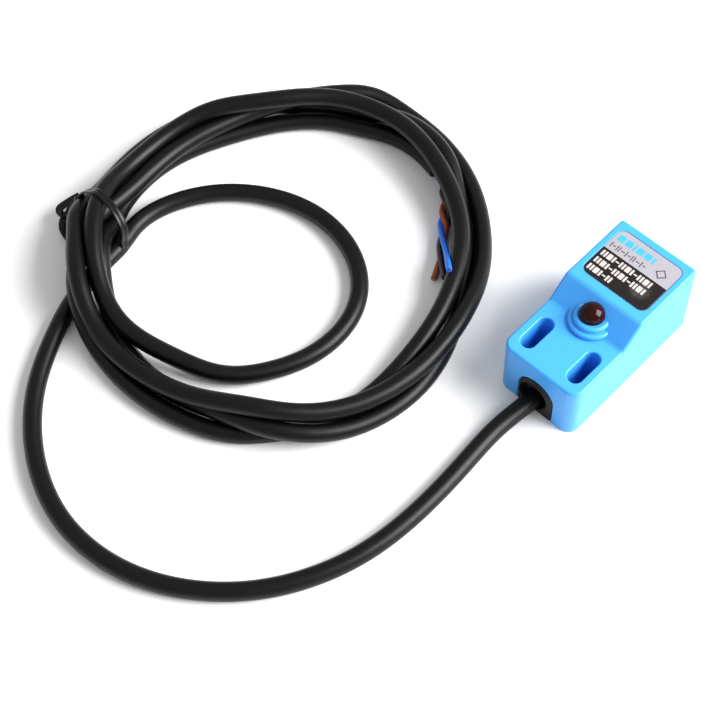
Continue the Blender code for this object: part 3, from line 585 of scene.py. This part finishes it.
def label():
    """Pale film with a black panel; rows of plain dashes and a diamond take the place of its print."""
    film, black, blue, grey, white = range(5)
    x0, x1, y0, y1 = LABEL_LOW.x, LABEL_HIGH.x, LABEL_LOW.y, LABEL_HIGH.y
    base = LABEL_LOW.z
    ink = base + 0.2
    coat = 0.012
    bm = bmesh.new()
    flat_mark(bm, rounded_rectangle(x0, x1, y0, y1, LABEL_CORNER, 10), base, 0.2, film)
    panel = [p for p in rounded_rectangle(x0 + 0.02, x1, y0 + 0.02, y1 - 0.02, LABEL_CORNER, 10)
             if p[0] < LABEL_SPLIT_X]
    flat_mark(bm, [(LABEL_SPLIT_X, y1 - 0.02)] + panel + [(LABEL_SPLIT_X, y0 + 0.02)], ink, coat, black)
    for start, length in dashes(6.8, -2.2, (1.55, 1.55, 0.5), 0.3):
        flat_mark(bm, dash(13.6, start, length, 1.6), ink, coat, blue)
    for start, length in dashes(6.8, -1.6, (0.22, 0.6, 0.22, 0.22, 0.85), 0.28):
        height = 0.24 if length > 0.5 else 1.35
        flat_mark(bm, dash(11.35, start, length, height), ink, coat, grey)
    for size, index, lift in ((1.25, grey, coat), (0.92, film, coat * 1.6)):
        flat_mark(bm, [(12.1 + size * math.cos(a), -4.5 + size * math.sin(a))
                       for a in (math.pi / 2 * k for k in range(4))], ink, lift, index)
    for x, stop in ((8.75, -5.3), (6.7, -5.4), (4.65, 0.3)):
        for start, length in dashes(6.9, stop, (0.45, 0.45, 1.0, 0.45, 0.75), 0.24):
            height = 0.34 if length == 0.75 else 1.4
            flat_mark(bm, dash(x, start, length, height), ink + coat, coat, white)
    piece = finish_mesh("printed_label", bm, LABEL_FILM, LABEL_BLACK, LABEL_BLUE, LABEL_GREY, LABEL_WHITE)
    return stand_in(piece, "label_film", "rating_label")


# Lamp and grommet ------------------------------------------------------------------------------


def lamp():
    flange = [(LAMP_LOW.z, 0.0), (LAMP_LOW.z, 2.9), (LAMP_LOW.z + 0.9, 2.9)]
    profile = flange + dome_profile(LAMP_LOW.z + 0.9, LAMP_RADIUS)
    lens = lathe("lamp_lens", profile, "Z", (LAMP_X, 0, 0), LAMP_RESIN, segments=96)
    return stand_in(lens, "dark_red_resin", "status_led_lens")


def grommet():
    """Arch plug with a rolled rim, a deep dish round the cable and a neck inside the shell."""
    front = -BODY_END - 0.02
    width = ARCH_HALF_WIDTH - 0.1
    bm = bmesh.new()
    loft(bm, [[(x, y, z) for y, z in arch_outline(width - inset, ARCH_SPRING_Z, 0.05 + inset * 0.3)]
              for x, inset in ((front, 0.3), (front + 0.08, 0.12), (front + 0.3, 0.0), (front + 1.65, 0.0))])
    plug = finish_mesh("grommet_plug", bm, RUBBER)
    bm = bmesh.new()
    loft(bm, [[(x, y, z) for y, z in rounded_rectangle(-2.55, 2.55, 0.35, 6.9, 0.6, 4)]
              for x in (front + 0.9, -13.0)])
    cut(plug, finish_mesh("neck", bm, RUBBER), "UNION")
    dish = [(front - 1.0, 0.0), (front - 1.0, 3.7), (front - 0.02, 3.45), (front + 0.12, 3.2),
            (front + 0.5, 3.0), (front + 1.15, 2.75), (front + 1.35, 2.4), (front + 1.35, 0.0)]
    cut(plug, lathe("dish", dish, "X", (0, 0.6, 4.2), RUBBER, segments=56))
    cut(plug, lathe("cable_hole", [(-20.0, 0.0), (-20.0, 2.15), (-12.0, 2.15), (-12.0, 0.0)], "X",
                    (0, 0.45, 2.5), RUBBER, segments=48))
    weigh_normals(plug, 40.0)
    return stand_in(plug, "black_rubber", "cable_grommet")


# Cable -----------------------------------------------------------------------------------------


def smooth_line(knots, step):
    """Evenly spaced points along a Catmull-Rom curve through the knots."""
    knots = np.array(knots, float)
    padded = np.vstack([2 * knots[0] - knots[1], knots, 2 * knots[-1] - knots[-2]])
    t = np.arange(16)[:, None] / 16
    fine = [0.5 * (2 * b + (c - a) * t + (2 * a - 5 * b + 4 * c - d) * t ** 2
                   + (3 * b - a - 3 * c + d) * t ** 3)
            for a, b, c, d in zip(padded, padded[1:], padded[2:], padded[3:])]
    fine = np.vstack(fine + [knots[-1:]])
    travelled = np.concatenate([[0], np.cumsum(np.linalg.norm(np.diff(fine, axis=0), axis=1))])
    wanted = np.linspace(0, travelled[-1], int(round(travelled[-1] / step)) + 1)
    return np.stack([np.interp(wanted, travelled, fine[:, i]) for i in range(3)], 1)


def coil_points(turns, step=3.0):
    """Points every few degrees along the turns, which follow each other round the coil's centre."""
    knots = np.array([(angle - 360.0 * lap, radius, height)
                      for lap, turn in turns for angle, radius, height in turn])[::-1]
    angle = knots[:, 0]
    wanted = np.linspace(angle[0], angle[-1], int((angle[-1] - angle[0]) / step) + 1)
    left = np.clip(np.searchsorted(angle, wanted, side="right") - 1, 0, len(angle) - 2)
    width = angle[left + 1] - angle[left]
    t = (wanted - angle[left]) / width
    columns = []
    for values in (knots[:, 1], knots[:, 2]):
        slope = np.gradient(values, angle)
        columns.append((2 * t ** 3 - 3 * t ** 2 + 1) * values[left]
                       + (3 * t ** 2 - 2 * t ** 3) * values[left + 1]
                       + (t ** 3 - 2 * t ** 2 + t) * width * slope[left]
                       + (t ** 3 - t ** 2) * width * slope[left + 1])
    radius, height = columns
    a = np.radians(wanted)
    points = np.stack([COIL_X + radius * np.cos(a), COIL_Y + radius * np.sin(a), height], 1)
    return [tuple(point) for point in points[::-1]]


def even_out(line, reach):
    """Soften kinks shorter than reach, in points, without drawing the curve inwards."""
    half = int(3 * reach) + 1
    weights = np.exp(-0.5 * (np.arange(-half, half + 1) / reach) ** 2)
    weights /= weights.sum()

    def blur(values):
        ends = [2 * values[0] - values[half:0:-1], values, 2 * values[-1] - values[-2:-half - 2:-1]]
        return np.convolve(np.concatenate(ends), weights, mode="valid")

    once = np.stack([blur(column) for column in line.T], 1)
    twice = np.stack([blur(column) for column in once.T], 1)
    return 2 * once - twice


def lie_together(line, rounds=400, keep=(0.02, 0.02, 0.006), stiffness=0.6):
    """Push strands apart until they only touch, and keep them on the floor and over the tie."""
    start = line.copy()
    count = len(line)
    first, second = np.triu_indices(count, int(8.0 / POINT_STEP) + 1)
    near = np.linalg.norm(line[first] - line[second], axis=1) < CABLE_DIAMETER + 4.5
    first, second = first[near], second[near]
    keep = np.array(keep)
    from_tie = np.hypot(line[:, 0] - TIE_PLACE[0], (line[:, 1] - TIE_PLACE[1]) / 2)
    floor = CABLE_RADIUS + TIE_LIFT * np.exp(-(from_tie / 7.0) ** 2)
    for _ in range(rounds):
        moved = (line - start) * (1 - keep)
        bend = np.zeros_like(moved)
        bend[1:-1] = 0.5 * (moved[:-2] + moved[2:]) - moved[1:-1]
        line = start + moved + stiffness * bend
        apart = line[first] - line[second]
        distance = np.linalg.norm(apart, axis=1)
        touching = distance < CABLE_DIAMETER
        i, j = first[touching], second[touching]
        push = (0.5 * (CABLE_DIAMETER - distance[touching]) / distance[touching])[:, None] * apart[touching]
        total = np.zeros_like(line)
        contacts = np.zeros(count)
        np.add.at(total, i, push)
        np.add.at(total, j, -push)
        np.add.at(contacts, i, 1)
        np.add.at(contacts, j, 1)
        line = line + total / np.maximum(contacts, 1)[:, None] * np.array([1.2, 1.2, 2.0])
        line[:, 2] = np.maximum(line[:, 2], floor)
    return line


def line_curve(name, points, radius, finish, resolution=10):
    """Round tube along points in millimetres."""
    curve = bpy.data.curves.new(name, "CURVE")
    curve.dimensions = "3D"
    curve.bevel_depth = radius * MM
    curve.bevel_resolution = resolution
    curve.use_fill_caps = True
    spline = curve.splines.new("POLY")
    spline.points.add(len(points) - 1)
    for slot, point in zip(spline.points, points):
        slot.co = (*(Vector(point) * MM), 1.0)
    spline.use_smooth = True
    return add_object(name, curve, finish)


def cable_line():
    turns = ((0, CLIMB_ON), (0, FIRST_TURN), (1, SECOND_TURN), (2, THIRD_TURN), (3, END_ARC))
    line = smooth_line(LEAD_ROUTE + UNDER_ROUTE + INNER_ROUTE + coil_points(turns), POINT_STEP)
    line = even_out(line, 3.2)
    line = lie_together(line)
    line[:, 2] = even_out(line, 3.0)[:, 2]
    line = lie_together(line, rounds=120)
    return lie_together(even_out(line, 1.6), rounds=40)


def cable(line):
    smooth = smooth_line(line[::2] if len(line) % 2 else np.vstack([line[:-1:2], line[-1:]]), 1.0)
    return line_curve("cable", smooth, CABLE_RADIUS, CABLE_PVC)


# Conductors ------------------------------------------------------------------------------------


def twisted_route(start_angle, tail):
    """Left-handed twist about the common line, then the wire's own tail."""
    step = 0.9
    spine = smooth_line(TWIST_LINE, step)
    route = []
    befores = np.vstack([2 * spine[0] - spine[1], spine])
    afters = np.vstack([spine[1:], 2 * spine[-1] - spine[-2]])
    for number, (before, here, after) in enumerate(zip(befores, spine, afters)):
        ahead = after - before
        side = np.array([-ahead[1], ahead[0], 0.0]) / np.hypot(ahead[0], ahead[1])
        a = math.radians(start_angle - 360.0 * number * step / TWIST_PITCH)
        route.append(tuple(here + TWIST_RADIUS * (side * math.cos(a) + np.array([0.0, 0.0, math.sin(a)]))))
    return route + tail


def wire_end(colour, route):
    """Insulation with a bore at its cut tip, and the stranded core just inside it."""
    points = [Vector(p) for p in smooth_line(route, 0.45)]
    tip = points[-1]
    ahead = (points[-1] - points[-2]).normalized()
    across = ahead.cross(Vector((0, 0, 1))).normalized()
    up = across.cross(ahead)
    sides = 28
    bore = 0.34

    def ring(centre, radius, direction):
        left = direction.cross(Vector((0, 0, 1))).normalized()
        high = left.cross(direction)
        return [centre + (left * math.cos(a) + high * math.sin(a)) * radius
                for a in (2 * math.pi * k / sides for k in range(sides))]

    rings = []
    for i, point in enumerate(points):
        direction = (points[min(i + 1, len(points) - 1)] - points[max(i - 1, 0)]).normalized()
        rings.append(ring(point, WIRE_RADIUS, direction))
    rings[-1] = ring(tip - ahead * 0.05, WIRE_RADIUS, ahead)
    rings.append(ring(tip, WIRE_RADIUS - 0.05, ahead))
    rings.append(ring(tip, bore, ahead))
    rings.append(ring(tip - ahead * 1.6, bore, ahead))
    bm = bmesh.new()
    loft(bm, rings)
    skin = finish_mesh(f"{colour}_insulation", bm, WIRE_FINISH[colour], sharp=50.0)
    stand_in(skin, "conductor_black_pvc" if colour == "black" else f"{colour}_pvc", f"{colour}_wire_end")
    bm = bmesh.new()
    strand = 0.095
    places = [(0.0, 0.0)] + [(2.1 * strand * math.cos(a), 2.1 * strand * math.sin(a))
                             for a in (math.pi / 3 * k for k in range(6))]
    for number, (u, v) in enumerate(places):
        centre = tip + across * u + up * v
        reach = 0.03 + 0.05 * (number % 3) / 2
        loft(bm, [[centre + ahead * along + (across * math.cos(a) + up * math.sin(a)) * strand
                   for a in (2 * math.pi * k / 10 for k in range(10))] for along in (-1.4, reach)])
    core = finish_mesh(f"{colour}_strands", bm, COPPER, sharp=50.0)
    stand_in(core, "enamelled_copper", f"{colour}_wire_core")
    return [skin, core]


# Twist tie -------------------------------------------------------------------------------------


def tie_frame():
    """The tie's own axes: across the bundle, up its leaning plane, and square to that plane."""
    lean = math.radians(TIE_LEAN)
    across = Vector((0.0, 1.0, 0.0))
    up = Vector((math.sin(lean), 0.0, math.cos(lean)))
    return across, up, up.cross(across)


def skin_at_tie(line, reach):
    """Points in the tie's plane that lie reach away from the strands' middle lines."""
    across, up, square = tie_frame()
    found = []
    for before, after in zip(line, line[1:]):
        here = (Vector(before) + Vector(after)) / 2 - Vector(TIE_PLACE)
        if here.length > 14:
            continue
        ahead = (Vector(after) - Vector(before)).normalized()
        left = ahead.cross(Vector((0, 0, 1))).normalized()
        high = left.cross(ahead)
        for k in range(48):
            a = 2 * math.pi * k / 48
            skin = here + (left * math.cos(a) + high * math.sin(a)) * reach
            if abs(skin.dot(square)) < 0.6:
                found.append((skin.dot(across), skin.dot(up)))
    return found


def ribbon(bm, points, sides, normals, width, thick, closed=False):
    """Flat strip with a groove down its middle, between two wire ribs."""
    half = width / 2
    shape = [(-half, -0.35), (-half, 0.35), (-half * 0.72, 0.5), (-half * 0.3, 0.42), (0.0, 0.2),
             (half * 0.3, 0.42), (half * 0.72, 0.5), (half, 0.35), (half, -0.35), (half * 0.5, -0.5),
             (-half * 0.5, -0.5)]
    rings = [[p + side * u + normal * (v * thick) for u, v in shape]
             for p, side, normal in zip(points, sides, normals)]
    loft(bm, rings, closed)


def rounded_loop(hull):
    """The hull round the strands, filled out towards an ellipse where a stiff tie would stand off."""
    half = hull.max(0)
    turns = np.linspace(0, 2 * math.pi, 96, endpoint=False)
    reach = []
    for a in turns:
        ahead = np.array([math.cos(a), math.sin(a)])
        square = np.array([-ahead[1], ahead[0]])
        found = 0.0
        for p, q in zip(hull, np.roll(hull, -1, 0)):
            p_off, q_off = p @ square, q @ square
            if p_off * q_off <= 0 and p_off != q_off:
                found = max(found, (p + (q - p) * p_off / (p_off - q_off)) @ ahead)
        ellipse = 1 / math.hypot(ahead[0] / half[0], ahead[1] / half[1])
        reach.append(max(found, ellipse * 0.92))
    reach = np.array(reach)
    for _ in range(4):
        reach = (np.roll(reach, 1) + 2 * reach + np.roll(reach, -1)) / 4
    return np.stack([reach * np.cos(turns), reach * np.sin(turns)], 1)


def twist_tie(line):
    across, up, square = tie_frame()
    centre = Vector(TIE_PLACE)
    cloud = skin_at_tie(line, CABLE_RADIUS + TIE_THICKNESS / 2)
    hull = np.array([cloud[i] for i in convex_hull_2d([Vector(p) for p in cloud])])
    middle = (hull.min(0) + hull.max(0)) / 2
    loop = rounded_loop(hull - middle) + middle
    points, sides, normals = [], [], []
    for before, here, after in zip(np.roll(loop, 1, 0), loop, np.roll(loop, -1, 0)):
        step = Vector(after - before).normalized()
        normal = Vector((step.y, -step.x))
        if normal.dot(Vector((here[0] - middle[0], here[1] - middle[1]))) < 0:
            normal.negate()
        points.append(centre + across * here[0] + up * here[1])
        sides.append(square)
        normals.append(across * normal.x + up * normal.y)
    bm = bmesh.new()
    ribbon(bm, points, sides, normals, TIE_WIDTH, TIE_THICKNESS, closed=True)
    outermost = points[int(np.argmax(loop[:, 0]))]
    root = outermost - across * 0.2
    for number, tail in enumerate(TIE_TAILS):
        spine = [Vector(p) for p in smooth_line([tuple(root), tuple(root + across * 0.7)] + tail, 0.3)]
        twists, ups = [], []
        for i, p in enumerate(spine):
            ahead = (spine[min(i + 1, len(spine) - 1)] - spine[max(i - 1, 0)]).normalized()
            turn = math.pi * (0.5 + 0.5 * min(1.0, i / 8)) + (0.2 if number else -0.2)
            flat = ahead.cross(Vector((0, 0, 1))).normalized()
            high = flat.cross(ahead)
            twists.append(flat * math.cos(turn) + high * math.sin(turn))
            ups.append(high * math.cos(turn) - flat * math.sin(turn))
        ribbon(bm, spine, twists, ups, TIE_WIDTH * 0.9, TIE_THICKNESS)
    piece = finish_mesh("bundle_tie", bm, TIE_PLASTIC, sharp=40.0)
    return stand_in(piece, "tie_plastic", "twist_tie")


# Stage -----------------------------------------------------------------------------------------


def stage():
    mesh = bpy.data.meshes.new("floor")
    half = 3.0
    corners = [(-half, -half, 0), (half, -half, 0), (half, half, 0), (-half, half, 0)]
    mesh.from_pydata(corners, [], [(0, 1, 2, 3)])
    made, shader, _add, _wire = node_material("studio_paper")
    shader.inputs["Base Color"].default_value = (PAPER, PAPER, PAPER, 1.0)
    shader.inputs["Roughness"].default_value = 0.9
    shader.inputs["Specular IOR Level"].default_value = 0.1
    add_object("floor", mesh, made)
    world = bpy.data.worlds.new("studio")
    bpy.context.scene.world = world
    world.use_nodes = True
    world.node_tree.nodes["Background"].inputs["Color"].default_value = (1.0, 1.0, 1.0, 1.0)
    world.node_tree.nodes["Background"].inputs["Strength"].default_value = WORLD_STRENGTH


def soft_light(name, place, aim, size, power):
    """Square soft box at place, turned to aim; both in millimetres."""
    light = bpy.data.lights.new(name, "AREA")
    light.shape = "RECTANGLE"
    light.size = size[0] * MM
    light.size_y = size[1] * MM
    light.energy = power
    made = bpy.data.objects.new(name, light)
    bpy.context.scene.collection.objects.link(made)
    made.location = Vector(place) * MM
    made.rotation_euler = (Vector(place) - Vector(aim)).to_track_quat("Z", "Y").to_euler()


def camera():
    data = bpy.data.cameras.new("camera")
    data.lens = CAMERA_LENS
    data.sensor_width = 36.0
    data.clip_start = 0.01
    made = bpy.data.objects.new("camera", data)
    bpy.context.scene.collection.objects.link(made)
    bpy.context.scene.camera = made
    made.location = Vector(CAMERA_PLACE) * MM
    look = Vector(CAMERA_TARGET) - Vector(CAMERA_PLACE)
    roll = Quaternion((0, 0, 1), math.radians(CAMERA_ROLL))
    made.rotation_mode = "QUATERNION"
    made.rotation_quaternion = look.to_track_quat("-Z", "Y") @ roll


def main():
    for name, finish in NODE_FINISH.items():
        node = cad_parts[name]
        node.data.materials.clear()
        node.data.materials.append(finish)
    housing_shell()
    label()
    lamp()
    grommet()
    line = cable_line()
    cord = stand_in(cable(line), "black_pvc", "cable_lead", "cable_inner_loop", "cable_coil")
    carried = [twist_tie(line)]
    for colour, (start_angle, tail) in WIRES.items():
        carried += wire_end(colour, twisted_route(start_angle, tail))
    stage()
    soft_light("key", KEY_PLACE, KEY_AIM, KEY_SIZE, KEY_POWER)
    camera()
    view = bpy.context.scene.view_settings
    view.view_transform = "Standard"
    view.look = "None"


main()
